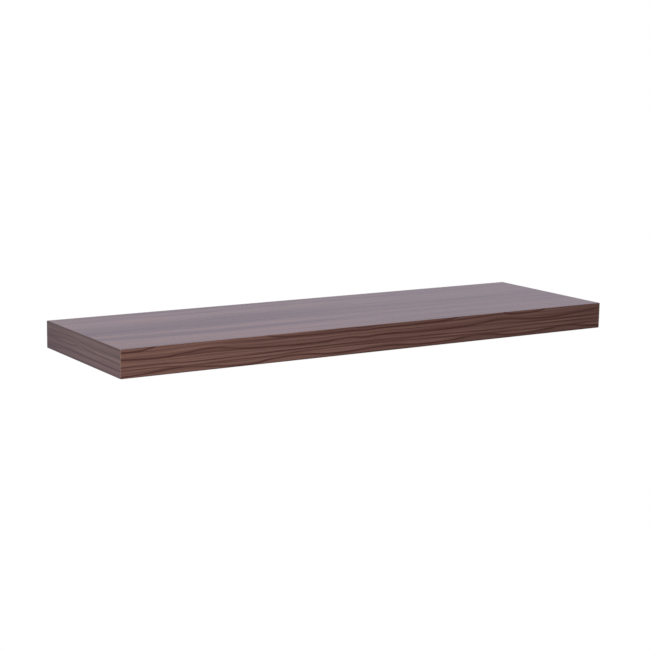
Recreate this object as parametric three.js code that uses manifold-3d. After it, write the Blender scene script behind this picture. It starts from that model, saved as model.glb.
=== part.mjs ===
// A floating wall shelf: a hollow-core board that slides onto three steel rods standing out
// from a rail on the wall, and is clamped there by grub screws in its underside.
// Millimetres, +Z up. The wall is the plane y = 0 and the room lies towards -Y. The origin is
// the middle of the wall rail's back face, at half the board's thickness.
import * as THREE from "three";
import { mergeVertices } from "three/addons/utils/BufferGeometryUtils.js";
import Module from "manifold-3d";

// Board
const boardLength = 800;
const boardDepth = 235;
const boardThickness = 38;
const skinThickness = 3;
const bandThickness = 1;
const bandArris = 0.5;

// Frame between the skins
const frontRailWidth = 30;
const endRailWidth = 30;
const backRailWidth = 30;

// Rail on the wall
const wallRailEndRoom = 19;
const wallRailHeight = 26;
const wallRailThickness = 4;
const wallRailCornerRadius = 4;

// Rods, one in the middle of the rail and one in from each end
const rodDiameter = 12;
const rodInset = 80;
const rodTipChamfer = 1.5;

// Blocks that take the rods
const rodBlockLength = 60;
const blockToFrontRail = 45;
const boreEndWall = 10;
const boreEndRoom = 5;
const boreClearance = 0.5;

// Wall screws, the outer pair in levelling slots and the inner pair midway between the rods
const outerScrewInset = 25;
const wallScrewLength = 60;
const wallScrewDiameter = 5;
const wallScrewTipLength = 7;
const wallScrewHeadDiameter = 10;
const wallScrewHeadHeight = 3.5;
const screwHoleClearance = 0.5;
const levellingTravel = 6;
const headRoom = 1.5;

// Plugs in the wall
const plugDiameter = 8;
const plugLength = 50;
const plugSetBack = 2.5;
const plugBoreClearance = 0.3;
const plugBarbDepth = 0.4;
const plugCollarLength = 8;
const plugTailLength = 8;
const plugSlitWidth = 1.2;

// Locking screws and their inserts
const lockSetback = 70;
const lockScrewDiameter = 5.7;
const lockScrewChamfer = 0.6;
const lockSocketWidth = 3;
const lockSocketDepth = 3.5;
const lockCupDepth = 1;
const lockScrewSink = 0.7;
const lockGap = 0.3;
const insertWall = 1.5;
const insertLength = 10;
const insertSink = 0.3;
const insertClearance = 0.3;
const insertChamfer = 0.4;
const threadClearance = 0.3;

// Honeycomb core
const cellWidth = 38;
const paperThickness = 0.6;
const coreClearance = 0.4;

// Shares, counts and the length by which a cutter overruns what it cuts
const glueShare = 0.8;
const headRimShare = 0.3;
const headCrownShare = 0.64;
const plugBarbs = 4;
const roundSides = 24;
const smallSides = 16;
const plugSides = 12;
const socketSides = 6;
const arcSteps = 4;
const cutOverrun = 1;

// Sizes that follow from those above
const rodRadius = rodDiameter / 2;
const boreRadius = rodRadius + boreClearance;
const wallScrewRadius = wallScrewDiameter / 2;
const screwHoleRadius = wallScrewRadius + screwHoleClearance;
const recessDepth = wallRailThickness + wallScrewHeadHeight + headRoom;
const halfBoard = boardThickness / 2;
const halfCore = halfBoard - skinThickness;
const coreHeight = boardThickness - 2 * skinThickness;
const panelEnd = boardLength / 2 - bandThickness;
const panelFront = -(boardDepth - bandThickness);
const cavityEnd = panelEnd - endRailWidth;
const cavityFront = panelFront + frontRailWidth;
const wallRailLength = 2 * (cavityEnd - wallRailEndRoom);
const blockBack = -(recessDepth + backRailWidth);
const blockFront = cavityFront + blockToFrontRail;
const boreEnd = blockFront + boreEndWall;
const rodTip = boreEnd + boreEndRoom;
const lockScrewRadius = lockScrewDiameter / 2;
const insertBoreRadius = lockScrewRadius + threadClearance;
const insertRadius = insertBoreRadius + insertWall;
const insertHoleRadius = insertRadius + insertClearance;
const lockScrewTop = -(rodRadius + lockGap);
const lockScrewBottom = -(halfBoard - lockScrewSink);

const outerRod = wallRailLength / 2 - rodInset;
const outerScrew = wallRailLength / 2 - outerScrewInset;
const rodPlaces = { left: -outerRod, centre: 0, right: outerRod };
const slotPlaces = [-outerScrew, outerScrew];
const screwPlaces = [-outerScrew, -outerRod / 2, outerRod / 2, outerScrew];

// Materials
const finish = (color, roughness, metalness = 0) =>
  new THREE.MeshStandardMaterial({ color, roughness, metalness });
const walnutFoil = finish(0x5c423c, 0.4);
const walnutBand = finish(0x5f4740, 0.42);
const chipboard = finish(0xb99c72, 0.9);
const softwood = finish(0xcdb083, 0.8);
const kraftPaper = finish(0xb08d62, 0.95);
const blackSteel = finish(0x24262a, 0.45, 0.9);
const zincSteel = finish(0xb4b8bc, 0.35, 1);
const greyNylon = finish(0x9a9c9e, 0.6);
const brass = finish(0xb8944e, 0.35, 1);

const wasm = await Module();
wasm.setup();

// A closed geometry as a solid for joining and cutting.
function solidOf(geometry) {
  const bare = geometry.clone();
  bare.deleteAttribute("normal");
  bare.deleteAttribute("uv");
  const merged = mergeVertices(bare);
  const mesh = new wasm.Mesh({
    numProp: 3,
    vertProperties: merged.getAttribute("position").array,
    triVerts: new Uint32Array(merged.getIndex().array),
  });
  return new wasm.Manifold(mesh);
}

// A solid back as a geometry with flat faces.
function geometryOf(solid) {
  const mesh = solid.getMesh();
  const shared = new THREE.BufferGeometry();
  shared.setAttribute("position", new THREE.BufferAttribute(mesh.vertProperties, mesh.numProp));
  shared.setIndex(new THREE.BufferAttribute(mesh.triVerts, 1));
  const faceted = shared.toNonIndexed();
  faceted.computeVertexNormals();
  return faceted;
}

function piece(name, shape, material) {
  const geometry = shape.isBufferGeometry ? shape : geometryOf(shape);
  const mesh = new THREE.Mesh(geometry, material);
  mesh.name = name;
  return mesh;
}

// A box between two corners.
function slab(low, high) {
  const size = high.map((value, axis) => value - low[axis]);
  const box = new THREE.BoxGeometry(...size);
  return box.translate(...low.map((value, axis) => value + size[axis] / 2));
}

// A cylinder about the line through (x, z) that runs along Y from back to front.
function bore(radius, x, z, back, front, sides) {
  const cylinder = new THREE.CylinderGeometry(radius, radius, back - front, sides);
  return cylinder.translate(x, (back + front) / 2, z);
}

// A cylinder about the line through (x, y) that runs up Z.
function uprightBore(radius, x, y, bottom, top, sides) {
  const cylinder = new THREE.CylinderGeometry(radius, radius, top - bottom, sides);
  return cylinder.rotateX(Math.PI / 2).translate(x, y, (bottom + top) / 2);
}

// A profile of [radius, y] pairs turned about Y.
function turned(profile, sides) {
  const points = profile.map(([radius, y]) => new THREE.Vector2(radius, y));
  return new THREE.LatheGeometry(points, sides);
}

// A rectangle with its corners rounded, about the origin.
function roundedRectangle(width, height, radius) {
  const [x, y] = [width / 2, height / 2];
  const shape = new THREE.Shape();
  shape.moveTo(radius - x, -y);
  shape.lineTo(x - radius, -y);
  shape.absarc(x - radius, radius - y, radius, -Math.PI / 2, 0);
  shape.lineTo(x, y - radius);
  shape.absarc(x - radius, y - radius, radius, 0, Math.PI / 2);
  shape.lineTo(radius - x, y);
  shape.absarc(radius - x, y - radius, radius, Math.PI / 2, Math.PI);
  shape.lineTo(-x, radius - y);
  shape.absarc(radius - x, radius - y, radius, Math.PI, Math.PI * 1.5);
  return shape;
}

// A strip of a given length and thickness whose outer face, at y = 0, has its arrises rounded.
function bandSection(length) {
  const half = length / 2;
  const shape = new THREE.Shape();
  shape.moveTo(half, bandThickness);
  shape.lineTo(-half, bandThickness);
  shape.absarc(bandArris - half, bandArris, bandArris, Math.PI, Math.PI * 1.5);
  shape.absarc(half - bandArris, bandArris, bandArris, -Math.PI / 2, 0);
  return shape;
}

const extruded = (shape, depth) =>
  new THREE.ExtrudeGeometry(shape, { depth, bevelEnabled: false, curveSegments: arcSteps });

// Bracket. The rail is a flat bar with a round hole for each inner screw and a slot for each
// outer one, in which the rail can be levelled.
function wallRail() {
  const bar = roundedRectangle(wallRailLength, wallRailHeight, wallRailCornerRadius);
  let rail = solidOf(extruded(bar, wallRailThickness).rotateX(Math.PI / 2));
  const slot = roundedRectangle(
    2 * screwHoleRadius,
    2 * screwHoleRadius + levellingTravel,
    screwHoleRadius,
  );
  const slotCutter = extruded(slot, wallRailThickness + 2 * cutOverrun);
  slotCutter.rotateX(Math.PI / 2).translate(0, cutOverrun, 0);
  for (const x of screwPlaces) {
    const hole = slotPlaces.includes(x)
      ? slotCutter.clone().translate(x, 0, 0)
      : bore(screwHoleRadius, x, 0, cutOverrun, -wallRailThickness - cutOverrun, smallSides);
    rail = rail.subtract(solidOf(hole));
  }
  return rail;
}

// A rod, butt-welded to the rail's front face, with a chamfered tip.
function rod() {
  const profile = [
    [0, rodTip],
    [rodRadius - rodTipChamfer, rodTip],
    [rodRadius, rodTip + rodTipChamfer],
    [rodRadius, -wallRailThickness],
    [0, -wallRailThickness],
  ];
  return turned(profile, roundSides);
}

// A pan-head screw through the rail into its plug.
function wallScrew() {
  const headRadius = wallScrewHeadDiameter / 2;
  const crownRadius = headRadius * headCrownShare;
  const seat = -wallRailThickness;
  const crown = seat - wallScrewHeadHeight;
  const rim = seat - wallScrewHeadHeight * headRimShare;
  const tip = wallScrewLength - wallRailThickness;
  const profile = [[0, crown]];
  for (let step = 0; step <= arcSteps; step += 1) {
    const angle = (step / arcSteps) * (Math.PI / 2);
    const radius = crownRadius + (headRadius - crownRadius) * Math.sin(angle);
    profile.push([radius, rim - (rim - crown) * Math.cos(angle)]);
  }
  profile.push(
    [headRadius, seat],
    [wallScrewRadius, seat],
    [wallScrewRadius, tip - wallScrewTipLength],
    [0, tip],
  );
  return turned(profile, smallSides);
}

// A plug with a plain collar, saw-tooth barbs that hold against the pull, and a slit that lets
// its two legs spread.
function wallPlug() {
  const outer = plugDiameter / 2;
  const inner = wallScrewRadius + plugBoreClearance;
  const front = plugSetBack;
  const end = front + plugLength;
  const barbStart = front + plugCollarLength;
  const barbLength = (plugLength - plugCollarLength - plugTailLength) / plugBarbs;
  const profile = [[inner, front], [outer, front]];
  for (let barb = 0; barb < plugBarbs; barb += 1) {
    profile.push([outer, barbStart + barb * barbLength]);
    profile.push([outer - plugBarbDepth, barbStart + (barb + 1) * barbLength]);
  }
  profile.push([outer - plugBarbDepth, end], [inner, end], [inner, front]);
  const slit = slab(
    [-plugSlitWidth / 2, barbStart, -outer - cutOverrun],
    [plugSlitWidth / 2, end + cutOverrun, outer + cutOverrun],
  );
  return solidOf(turned(profile, plugSides)).subtract(solidOf(slit));
}

// Board. The bottom panel is drilled for the three inserts.
function bottomPanel() {
  const sheet = slab([-panelEnd, panelFront, -halfBoard], [panelEnd, 0, -halfCore]);
  return Object.values(rodPlaces).reduce((panel, x) => {
    const [low, high] = [-halfBoard - cutOverrun, -halfCore + cutOverrun];
    const hole = uprightBore(insertHoleRadius, x, -lockSetback, low, high, roundSides);
    return panel.subtract(solidOf(hole));
  }, solidOf(sheet));
}

// The back rail is set in from the wall, which leaves the recess for the bracket.
function backRail() {
  const bar = slab([-cavityEnd, blockBack, -halfCore], [cavityEnd, -recessDepth, halfCore]);
  return Object.values(rodPlaces).reduce((rail, x) => {
    const [back, front] = [cutOverrun - recessDepth, blockBack - cutOverrun];
    return rail.subtract(solidOf(bore(boreRadius, x, 0, back, front, roundSides)));
  }, solidOf(bar));
}

// A block that goes on guiding its rod past the back rail, with the insert's stepped hole
// coming up from below.
function rodBlock() {
  const half = rodBlockLength / 2;
  const block = slab([-half, blockFront, -halfCore], [half, blockBack, halfCore]);
  const rodBore = bore(boreRadius, 0, 0, blockBack + cutOverrun, boreEnd, roundSides);
  const low = -halfCore - cutOverrun;
  const step = insertSink + insertLength + insertClearance - halfBoard;
  const insertHole = uprightBore(insertHoleRadius, 0, -lockSetback, low, step, roundSides);
  const screwHole = uprightBore(insertBoreRadius, 0, -lockSetback, low, 0, smallSides);
  return solidOf(block)
    .subtract(solidOf(rodBore))
    .subtract(solidOf(insertHole))
    .subtract(solidOf(screwHole));
}

// The front band covers the whole front and shows its ends on the end faces.
function frontBand() {
  const plan = extruded(bandSection(boardLength), boardThickness);
  const side = extruded(bandSection(boardThickness), boardLength);
  plan.translate(0, -boardDepth, -halfBoard);
  side.rotateY(-Math.PI / 2).translate(boardLength / 2, -boardDepth, 0);
  return solidOf(plan).intersect(solidOf(side));
}

// The left end band, from the front band back to the wall.
function endBand() {
  const band = extruded(bandSection(boardThickness), boardDepth - bandThickness);
  const [right, back, up] = [
    new THREE.Vector3(1, 0, 0),
    new THREE.Vector3(0, 1, 0),
    new THREE.Vector3(0, 0, 1),
  ];
  band.applyMatrix4(new THREE.Matrix4().makeBasis(up, right, back));
  return band.translate(-boardLength / 2, panelFront, 0);
}

// The outline of a strip of even thickness along a line of points, with mitred bends.
function stripOutline(points, thickness) {
  const runs = points.slice(1).map((point, i) => point.clone().sub(points[i]).normalize());
  const offsets = points.map((point, i) => {
    const before = runs[Math.max(i - 1, 0)];
    const after = runs[Math.min(i, runs.length - 1)];
    const along = before.clone().add(after).normalize();
    const reach = thickness / 2 / along.dot(before);
    return new THREE.Vector2(-along.y, along.x).multiplyScalar(reach);
  });
  const left = points.map((point, i) => point.clone().add(offsets[i]));
  const right = points.map((point, i) => point.clone().sub(offsets[i]));
  return new THREE.Shape([...left, ...right.reverse()]);
}

// Expanded honeycomb. Paper ribbons run from front to back and zigzag, each a mirror of the
// last, so that their flats meet and are glued while the slopes between them open into
// hexagons. The sheet is then cut to the cavity and notched round the rod blocks, and the
// loose scraps that the cuts leave are dropped.
function honeycombCore() {
  const cellSide = cellWidth / Math.sqrt(3);
  const ribbonSpacing = cellWidth / 2;
  const sway = (ribbonSpacing - glueShare * paperThickness) / 2;
  const repeat = 3 * cellSide;
  const repeats = Math.ceil((blockBack - cavityFront) / repeat) + 1;
  const reachEachWay = Math.ceil(cavityEnd / ribbonSpacing);
  let core = null;
  for (let i = -reachEachWay; i <= reachEachWay; i += 1) {
    const x = i * ribbonSpacing;
    const out = i % 2 === 0 ? sway : -sway;
    const line = [];
    for (let j = 0; j < repeats; j += 1) {
      const y = cavityFront - cellSide / 2 + j * repeat;
      line.push(new THREE.Vector2(x + out, y));
      line.push(new THREE.Vector2(x + out, y + cellSide));
      line.push(new THREE.Vector2(x - out, y + cellSide * 1.5));
      line.push(new THREE.Vector2(x - out, y + cellSide * 2.5));
    }
    const ribbon = extruded(stripOutline(line, paperThickness), coreHeight);
    const solid = solidOf(ribbon.translate(0, 0, -halfCore));
    core = core ? core.add(solid) : solid;
  }
  const end = cavityEnd - coreClearance;
  const sheet = slab(
    [-end, cavityFront + coreClearance, -halfBoard],
    [end, blockBack - coreClearance, halfBoard],
  );
  core = core.intersect(solidOf(sheet));
  const notch = rodBlockLength / 2 + coreClearance;
  for (const x of Object.values(rodPlaces)) {
    const cutter = slab(
      [x - notch, blockFront - coreClearance, -halfBoard],
      [x + notch, blockBack, halfBoard],
    );
    core = core.subtract(solidOf(cutter));
  }
  const [sheetLeft] = core.decompose().sort((a, b) => b.volume() - a.volume());
  return sheetLeft;
}

// A threaded insert, flush with the underside, and the grub screw in it with its hexagon
// socket below and its cup point just under the rod.
function lockInsert() {
  const bottom = insertSink - halfBoard;
  const top = bottom + insertLength;
  const profile = [
    [insertBoreRadius, bottom],
    [insertRadius - insertChamfer, bottom],
    [insertRadius, bottom + insertChamfer],
    [insertRadius, top - insertChamfer],
    [insertRadius - insertChamfer, top],
    [insertBoreRadius, top],
    [insertBoreRadius, bottom],
  ];
  return turned(profile, roundSides).rotateX(Math.PI / 2).translate(0, -lockSetback, 0);
}

function lockScrew() {
  const profile = [
    [0, lockScrewBottom],
    [lockScrewRadius - lockScrewChamfer, lockScrewBottom],
    [lockScrewRadius, lockScrewBottom + lockScrewChamfer],
    [lockScrewRadius, lockScrewTop - lockScrewChamfer],
    [lockScrewRadius - lockScrewChamfer, lockScrewTop],
    [0, lockScrewTop - lockCupDepth],
  ];
  const screw = turned(profile, smallSides).rotateX(Math.PI / 2);
  const socketRadius = lockSocketWidth / Math.sqrt(3);
  const [low, high] = [lockScrewBottom - cutOverrun, lockScrewBottom + lockSocketDepth];
  const socket = uprightBore(socketRadius, 0, 0, low, high, socketSides);
  return geometryOf(solidOf(screw).subtract(solidOf(socket))).translate(0, -lockSetback, 0);
}

// The scene graph: the bracket on the wall, the board on its rods, and the locking screws.
const bracket = new THREE.Group();
bracket.add(piece("wall_rail", wallRail(), blackSteel));
const screwGeometry = wallScrew();
const plugGeometry = geometryOf(wallPlug());
screwPlaces.forEach((x, index) => {
  const screw = piece(`wall_screw_${index + 1}`, screwGeometry, zincSteel);
  const plug = piece(`wall_plug_${index + 1}`, plugGeometry, greyNylon);
  screw.position.x = x;
  plug.position.x = x;
  bracket.add(screw, plug);
});

const board = new THREE.Group();
const topPanel = slab([-panelEnd, panelFront, halfCore], [panelEnd, 0, halfBoard]);
const frontRail = slab([-panelEnd, panelFront, -halfCore], [panelEnd, cavityFront, halfCore]);
const endRail = slab([-panelEnd, cavityFront, -halfCore], [-cavityEnd, 0, halfCore]);
const endBandGeometry = endBand();
const rightEndRail = piece("right_end_rail", endRail, chipboard);
const rightEndBand = piece("right_edge_band", endBandGeometry, walnutBand);
rightEndRail.position.x = panelEnd + cavityEnd;
rightEndBand.rotation.y = Math.PI;
board.add(
  piece("top_panel", topPanel, walnutFoil),
  piece("bottom_panel", bottomPanel(), walnutFoil),
  piece("front_rail", frontRail, chipboard),
  piece("left_end_rail", endRail, chipboard),
  rightEndRail,
  piece("back_rail", backRail(), chipboard),
  piece("honeycomb_core", honeycombCore(), kraftPaper),
  piece("front_edge_band", frontBand(), walnutBand),
  piece("left_edge_band", endBandGeometry, walnutBand),
  rightEndBand,
);

const rodGeometry = rod();
const blockGeometry = geometryOf(rodBlock());
const insertGeometry = lockInsert();
const lockGeometry = lockScrew();
const locks = new THREE.Group();
for (const [place, x] of Object.entries(rodPlaces)) {
  const steelRod = piece(`rod_${place}`, rodGeometry, blackSteel);
  const block = piece(`rod_block_${place}`, blockGeometry, softwood);
  const insert = piece(`lock_insert_${place}`, insertGeometry, brass);
  const lock = piece(`lock_screw_${place}`, lockGeometry, zincSteel);
  for (const mesh of [steelRod, block, insert, lock]) {
    mesh.position.x = x;
  }
  bracket.add(steelRod);
  board.add(block, insert);
  locks.add(lock);
}

const shelf = new THREE.Group();
shelf.add(bracket, board, locks);

export default shelf;
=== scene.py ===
# %% [markdown]
# # A walnut wall shelf on a hidden bracket
# The shelf is a hollow board, 800 mm long, that slides onto three steel rods and hides them.
# Its solids come packed from the CAD model, so this lesson adds only what CAD leaves plain:
# the wood print, the fine edges, the threads and the finishes. Everything is in metres, in
# the frame of the CAD model: X runs along the wall, Y into the wall and Z up.

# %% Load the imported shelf
import math

import bmesh
import bpy
from mathutils import Matrix, Vector


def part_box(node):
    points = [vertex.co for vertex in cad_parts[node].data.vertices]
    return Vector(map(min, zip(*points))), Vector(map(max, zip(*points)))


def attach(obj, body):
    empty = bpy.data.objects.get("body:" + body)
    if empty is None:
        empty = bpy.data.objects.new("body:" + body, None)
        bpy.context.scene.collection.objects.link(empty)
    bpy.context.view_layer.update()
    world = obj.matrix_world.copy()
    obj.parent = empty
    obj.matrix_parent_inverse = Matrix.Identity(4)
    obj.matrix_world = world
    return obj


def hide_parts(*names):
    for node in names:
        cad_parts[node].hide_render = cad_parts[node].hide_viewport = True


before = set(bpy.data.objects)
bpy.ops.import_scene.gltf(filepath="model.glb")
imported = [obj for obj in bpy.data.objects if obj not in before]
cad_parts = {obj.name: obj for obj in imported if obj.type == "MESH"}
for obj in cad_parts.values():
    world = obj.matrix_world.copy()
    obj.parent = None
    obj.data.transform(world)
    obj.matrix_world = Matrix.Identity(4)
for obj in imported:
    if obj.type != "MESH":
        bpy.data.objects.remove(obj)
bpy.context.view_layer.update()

# %% [markdown]
# ## The camera
# A photograph of a long board has strong perspective, so the camera is placed where the
# photographer stood: left of the shelf, a little above it and about 2.3 m away. It could be
# found by eye, but a point to stand on, a point to aim at and a slight roll are enough to
# say it exactly, and each can be changed alone.

# %% Place the camera
camera_place = Vector((-1.2425, -2.0231, 0.4072))
camera_aim = Vector((-0.0189, -0.1150, 0.0))
camera_roll = math.radians(0.99)
camera_lens = 88.24


def new_object(name, data):
    """An object in the scene, from its data."""
    made = bpy.data.objects.new(name, data)
    bpy.context.scene.collection.objects.link(made)
    return made


def facing(place, aim):
    """The matrix of a camera or lamp that stands at a place and points at an aim."""
    look = (aim - place).to_track_quat("-Z", "Y")
    return Matrix.Translation(place) @ look.to_matrix().to_4x4()


camera_data = bpy.data.cameras.new("camera")
camera_data.lens = camera_lens
camera = new_object("camera", camera_data)
camera.matrix_world = facing(camera_place, camera_aim) @ Matrix.Rotation(camera_roll, 4, "Z")
bpy.context.scene.camera = camera
bpy.context.scene.view_settings.view_transform = "Standard"
print("camera to aim:", round((camera_aim - camera_place).length, 3), "m")

# %% [markdown]
# ## Writing shader maths as sums
# A finish is a small calculation for each point of the surface. Drawing it node by node is
# slow to read, so one class wraps a node's output and turns Python's operators into Math
# nodes. Its `node` method adds any other kind of node: settings first, then the sockets.


# %% A wire that can be added and multiplied
class Wire:
    """One output of a node. Sums and products of wires add Math nodes to the same tree."""

    def __init__(self, tree, socket=None):
        self.tree = tree
        self.socket = socket

    def node(self, kind, settings, sockets, output=0):
        """Adds a node of any kind and returns the wire of one of its outputs."""
        made = self.tree.nodes.new(kind)
        for name, value in settings.items():
            if name == "stops":
                lay_stops(made.color_ramp.elements, value)
            elif name == "curve":
                lay_curve(made.mapping, value)
            else:
                setattr(made, name, value)
        for name, value in sockets.items():
            if isinstance(value, Wire):
                self.tree.links.new(value.socket, made.inputs[name])
            else:
                made.inputs[name].default_value = value
        return Wire(self.tree, made.outputs[output])

    def other(self, output):
        """Another output of the same node."""
        return Wire(self.tree, self.socket.node.outputs[output])

    def maths(self, operation, first, second=0.0):
        return self.node("ShaderNodeMath", {"operation": operation}, {0: first, 1: second})

    def __add__(self, value):
        return self.maths("ADD", self, value)

    __radd__ = __add__

    def __sub__(self, value):
        return self.maths("SUBTRACT", self, value)

    def __rsub__(self, value):
        return self.maths("SUBTRACT", value, self)

    def __mul__(self, value):
        return self.maths("MULTIPLY", self, value)

    __rmul__ = __mul__

    def __abs__(self):
        return self.maths("ABSOLUTE", self)


# %% Stops of a ramp and points of a curve
def lay_stops(elements, stops):
    """Gives a colour ramp its stops: a share of the way and a colour for each."""
    while len(elements) > 1:
        elements.remove(elements[-1])
    for index, (share, colour) in enumerate(stops):
        stop = elements[0] if index == 0 else elements.new(share)
        stop.position = share
        stop.color = colour


def lay_curve(mapping, points):
    """Runs a float curve through points that lie between 0 and 1 both ways."""
    curve = mapping.curves[0]
    while len(curve.points) > 2:
        curve.points.remove(curve.points[1])
    curve.points[0].location = points[0]
    curve.points[1].location = points[-1]
    for point in points[1:-1]:
        curve.points.new(*point)
    mapping.update()


# %% Small helpers that every finish uses
cloud_span = (0.3, 0.7)


def fade(value, low, high, start=0.0, end=1.0):
    """A smooth step of a wire: start at low and below, end at high and above."""
    sockets = {"Value": value, "From Min": low, "From Max": high, "To Min": start, "To Max": end}
    return value.node("ShaderNodeMapRange", {"interpolation_type": "SMOOTHSTEP"}, sockets)


def blend(share, first, second):
    """A colour between two colours or wires."""
    return share.node("ShaderNodeMix", {"data_type": "RGBA"}, {0: share, 6: first, 7: second}, 2)


def mottled(share, cover, colours):
    """Two colours mixed by a share, and a third that covers them by another."""
    first, second, third = colours
    return blend(cover, blend(share, first, second), third)


def stretched(first, second, third=0.0):
    """A texture's place, made of three values."""
    wire = first if isinstance(first, Wire) else second
    return wire.node("ShaderNodeCombineXYZ", {}, {"X": first, "Y": second, "Z": third})


def clouds(place, scale=1.0, detail=2.0, roughness=0.5):
    """Smooth noise from 0 to 1, most of it inside the cloud span."""
    sockets = {"Vector": place, "Scale": scale, "Detail": detail, "Roughness": roughness}
    return place.node("ShaderNodeTexNoise", {}, sockets, "Fac")


def long_clouds(along, across, length, width, seed, detail=2.0):
    """Smooth noise whose patches have a length and a width, in millimetres."""
    return clouds(stretched(along * (1 / length), across * (1 / width), seed), detail=detail)


def srgb(red, green, blue):
    """A colour read from a picture, 0 to 255, as the light that a shader needs."""
    shares = [value / 255 for value in (red, green, blue)]
    light = [s / 12.92 if s <= 0.04045 else ((s + 0.055) / 1.055) ** 2.4 for s in shares]
    return (*light, 1.0)


# %% A new finish and its shader
def new_finish(name):
    """A material with one shader, and the wire of its Object coordinates in millimetres."""
    material = bpy.data.materials.new(name)
    material.use_nodes = True
    shader = material.node_tree.nodes["Principled BSDF"]
    start = Wire(material.node_tree)
    metres = start.node("ShaderNodeTexCoord", {}, {}, "Object")
    scaling = {"operation": "SCALE"}
    place = metres.node("ShaderNodeVectorMath", scaling, {"Vector": metres, "Scale": 1000.0})
    return material, shader, place


def plug_in(shader, sockets):
    """Links wires to a shader's sockets, and sets plain values on them."""
    for name, value in sockets.items():
        if isinstance(value, Wire):
            value.tree.links.new(value.socket, shader.inputs[name])
        else:
            shader.inputs[name].default_value = value


def bumps(height, depth, strength=1.0):
    """A Bump node. Depth is how far the height lifts the surface, in millimetres."""
    sockets = {"Height": height, "Distance": depth / 1000, "Strength": strength}
    return height.node("ShaderNodeBump", {}, sockets, "Normal")


def axes(place):
    """The X, Y and Z wires of a place."""
    x = place.node("ShaderNodeSeparateXYZ", {}, {"Vector": place}, "X")
    return x, x.other("Y"), x.other("Z")


def ray_kinds(wire):
    """Two wires: 1 for a ray straight from the camera, and 1 for one off or through a surface."""
    straight = wire.node("ShaderNodeLightPath", {}, {}, "Is Camera Ray")
    return straight, straight.other("Is Glossy Ray") + straight.other("Is Transmission Ray")


# %% [markdown]
# ## The room
# The shelf hangs in front of white, with nothing near it. A backdrop would hide the shelf
# from behind, so the world itself is the backdrop: white for what the camera sees directly.
# Mirror reflections see paler surroundings on the wall side than on the room side, which is
# what keeps the front edge deep brown while the top, seen at a low angle, turns grey.

# %% The world
room_fill = (0.50, 0.50, 0.52, 1.0)
wall_side = (0.575, 0.58, 0.71, 1.0)
room_side = (0.20, 0.20, 0.21, 1.0)
overhead = (0.85, 0.86, 0.90, 1.0)
white = (1.0, 1.0, 1.0, 1.0)
side_turn = 0.35
overhead_turn = (0.35, 0.80)

world = bpy.data.worlds.new("room")
bpy.context.scene.world = world
world.use_nodes = True
room = Wire(world.node_tree)
direction = room.node("ShaderNodeTexCoord", {}, {}, "Generated")
_, towards_wall, upward = axes(direction)
straight_ray, mirror_ray = ray_kinds(direction)
around = blend(fade(towards_wall, -side_turn, side_turn), room_side, wall_side)
around = blend(fade(upward, *overhead_turn), around, overhead)
seen = blend(straight_ray, blend(mirror_ray, room_fill, around), white)
plug_in(world.node_tree.nodes["Background"], {"Color": seen, "Strength": 1.0})
print(len(world.node_tree.nodes), "nodes in the world")

# %% [markdown]
# ## Lamps and floor
# One large soft lamp stands front left and above, as in a small studio, so the board is a
# little lighter at its left. Weaker ones behind and below keep the hidden sides readable.
# The pale floor is far down. It renders white, but it still takes the shelf's soft shadow.


# %% The lamps
lamp_aim = Vector((0.0, -0.1, 0.0))


def add_lamp(name, place, size, watts):
    """A square soft lamp that faces the middle of the shelf."""
    data = bpy.data.lights.new(name, "AREA")
    data.size = size
    data.energy = watts
    lit = new_object(name, data)
    lit.matrix_world = facing(Vector(place), lamp_aim)
    lit.visible_glossy = False
    print(name, size, "m wide,", watts, "W")


add_lamp("key_lamp", place=(-1.45, -1.6, 1.35), size=1.2, watts=35.0)
add_lamp("rear_lamp", place=(0.9, 1.9, 2.2), size=1.4, watts=26.0)
add_lamp("low_lamp", place=(-0.5, -1.1, -2.0), size=1.4, watts=13.0)

# %% The floor
floor_drop = 2.6
floor_reach = 3.0
floor_paint = (0.82, 0.82, 0.81, 1.0)
floor_speckle = (0.80, 0.80, 0.80, 1.0)
speckle_scale = 0.02
no_light = (0.0, 0.0, 0.0, 1.0)
floor_rough = 0.9
floor_glow = 0.55

floor_mesh = bmesh.new()
bmesh.ops.create_grid(floor_mesh, x_segments=1, y_segments=1, size=floor_reach)
bmesh.ops.translate(floor_mesh, verts=floor_mesh.verts, vec=(0.0, 0.0, -floor_drop))
floor_data = bpy.data.meshes.new("floor")
floor_mesh.to_mesh(floor_data)
floor_mesh.free()
floor = new_object("floor", floor_data)
floor_finish, floor_shader, floor_place = new_finish("floor_paint")
speckles = fade(clouds(floor_place, speckle_scale), *cloud_span)
straight_ray, mirror_ray = ray_kinds(floor_place)
plug_in(floor_shader, {
    "Base Color": blend(speckles, floor_paint, floor_speckle),
    "Roughness": floor_rough,
    "Emission Color": blend(straight_ray + mirror_ray, no_light, white),
    "Emission Strength": floor_glow,
})
floor_data.materials.append(floor_finish)
print("floor at", -floor_drop, "m")

# %% [markdown]
# ## The walnut print
# The skins and edge bands carry a printed foil: a picture of walnut under a satin lacquer.
# A photograph of wood would repeat and blur, so the print is calculated: four clouds, each
# stretched along the grain, make bands, lines, threads and fibres, and a ramp turns their sum
# into brown. If the distance across the grain is first shifted by a slow wave, every line
# bends with that wave.

# %% Colours of the print
vein_brown = srgb(65, 29, 21)
mid_brown = srgb(95, 62, 54)
light_brown = srgb(123, 90, 79)
pore_brown = srgb(48, 26, 21)
olive_brown = srgb(69, 79, 48)
edge_brown = srgb(126, 101, 92)
tone_stops = [(0.12, vein_brown), (0.50, mid_brown), (0.90, light_brown)]
pore_strength = 0.6
foil_rough = (0.40, 0.34)
foil_relief = 0.03
foil_bump = 0.5
grain_lift = 0.5
print(len(tone_stops), "browns in the ramp")


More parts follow.
